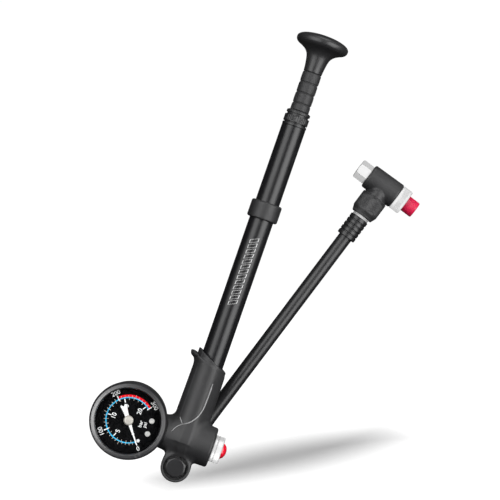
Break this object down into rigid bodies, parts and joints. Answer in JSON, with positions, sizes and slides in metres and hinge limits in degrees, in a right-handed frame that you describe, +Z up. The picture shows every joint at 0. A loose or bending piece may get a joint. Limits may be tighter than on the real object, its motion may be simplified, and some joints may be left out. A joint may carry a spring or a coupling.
{
  "type": "mini pump",
  "caption": "Slim hand pump with a palm-knob plunger, round pressure gauge, release valve, and a swivelling hose with an elbow chuck.",
  "frame": {"origin": "where the barrel's axis meets the cross axis of the gauge stem and the release valve, inside the housing", "axes": "+Z up the barrel to the handle, -Y the side the gauge faces, -X towards the gauge, +X towards the release valve"},
  "size_m": [0.1589, 0.0438, 0.3051],
  "materials": {
    "black_plastic": "moulded, fine satin grain",
    "black_rubber": "matte, slightly soft sheen",
    "black_anodised": "gloss black anodised tube",
    "black_metal": "satin black coating",
    "hose_rubber": "smooth extruded rubber",
    "chrome": "bright nickel-chrome plate",
    "steel": "turned steel",
    "brass": "turned brass",
    "red_plastic": "gloss red moulding",
    "lens_clear": "clear polished lens",
    "dial_black": "flat black printed plate",
    "pointer_white": "matt white enamel",
    "nylon": "plain nylon"
  },
  "bodies": {
    "pump": {"housing": "black_plastic", "barrel_tube": "black_anodised", "barrel_seal": "black_rubber", "valve_seat": "brass", "check_spring": "steel", "hose_clip": "black_plastic", "gland_cap": "black_metal", "gland_bush": "nylon", "rod_seal": "black_rubber", "rest_ring": "black_plastic", "gauge_case": "black_metal", "gauge_stem": "brass", "gauge_bezel": "black_metal", "gauge_lens": "lens_clear", "pressure_tube": "brass", "gauge_dial": "dial_black", "dial_screws": "steel", "stop_pin": "pointer_white", "movement_frame": "brass", "bleed_sleeve": "chrome", "bleed_spring": "steel", "swivel_bolt": "black_metal", "swivel_seals": "black_rubber", "thrust_washer": "nylon", "retaining_clip": "steel"},
    "check_valve": {"check_ball": "steel"},
    "release_button": {"bleed_button": "red_plastic", "bleed_stem": "steel", "bleed_seal": "black_rubber"},
    "pointer": {"gauge_pointer": "pointer_white", "pointer_hub": "steel", "pinion_arbor": "brass"},
    "sector": {"sector_gear": "brass"},
    "rod_guide": {"piston_seal": "black_rubber"},
    "plunger": {"piston_rod": "steel", "piston": "brass", "piston_screw": "steel", "top_out_bumper": "black_rubber", "handle_core": "black_plastic", "handle_screw": "steel", "grip_sleeve": "black_rubber", "palm_knob": "black_rubber"},
    "hose_arm": {"swivel_banjo": "black_metal", "base_ferrule": "black_metal", "hose": "hose_rubber", "chuck_ferrule": "black_metal", "hose_nipple": "chrome"},
    "chuck": {"coupling_sleeve": "black_plastic", "chuck_body": "black_plastic", "knob_ring": "chrome", "nut_retainer": "steel", "pin_seal": "black_rubber"},
    "nut": {"valve_nut": "chrome", "valve_gasket": "black_rubber"},
    "actuator": {"actuator_pin": "steel"},
    "knob": {"knob_cap": "red_plastic"}
  },
  "joints": [
    {"name": "handle_slide", "type": "slide", "parent": "pump", "child": "rod_guide", "axis": [0, 0, 1], "range_m": [0, 0.175]},
    {"name": "handle_spin", "type": "hinge", "parent": "rod_guide", "child": "plunger", "pos_m": [0, 0, 0.02], "axis": [0, 0, 1], "continuous": true},
    {"name": "hose_swivel", "type": "hinge", "parent": "pump", "child": "hose_arm", "pos_m": [0, 0.0175, -0.0189], "axis": [0, 1, 0], "range_deg": [-17.8, 252]},
    {"name": "chuck_swivel", "type": "hinge", "parent": "hose_arm", "child": "chuck", "pos_m": [0.05974, 0.0175, 0.16978], "axis": [0.3062, 0, 0.952], "range_deg": [0, 360]},
    {"name": "nut_spin", "type": "hinge", "parent": "chuck", "child": "nut", "pos_m": [0.05357, 0.0175, 0.20286], "axis": [-0.952, 0, 0.3062], "continuous": true},
    {"name": "pin_travel", "type": "slide", "parent": "chuck", "child": "actuator", "axis": [-0.952, 0, 0.3062], "range_m": [0, 0.00187]},
    {"name": "knob_turn", "type": "hinge", "parent": "actuator", "child": "knob", "pos_m": [0.08594, 0.0175, 0.19245], "axis": [-0.952, 0, 0.3062], "range_deg": [0, 541]},
    {"name": "release_press", "type": "slide", "parent": "pump", "child": "release_button", "axis": [-1, 0, 0], "range_m": [0, 0.0018], "stiffness_N_per_m": 800, "springref_m": -0.002, "deforming": ["bleed_spring"]},
    {"name": "check_lift", "type": "slide", "parent": "pump", "child": "check_valve", "axis": [0, 0, -1], "range_m": [0, 0.0008], "stiffness_N_per_m": 60, "springref_m": -0.0015, "deforming": ["check_spring"]},
    {"name": "sector_turn", "type": "hinge", "parent": "pump", "child": "sector", "pos_m": [-0.04822, 0, -0.00972], "axis": [0, -1, 0], "range_deg": [0, 25.9], "stiffness_Nm_per_rad": 0.004, "springref_deg": -8.59},
    {"name": "pointer_turn", "type": "hinge", "parent": "pump", "child": "pointer", "pos_m": [-0.0385, 0, 0], "axis": [0, 1, 0], "range_deg": [0, 259]}
  ],
  "couplings": [
    {"joint": "knob_turn", "follows": "pin_travel", "rad_per_m": 5026.5},
    {"joint": "pointer_turn", "follows": "sector_turn", "ratio": 10}
  ]
}
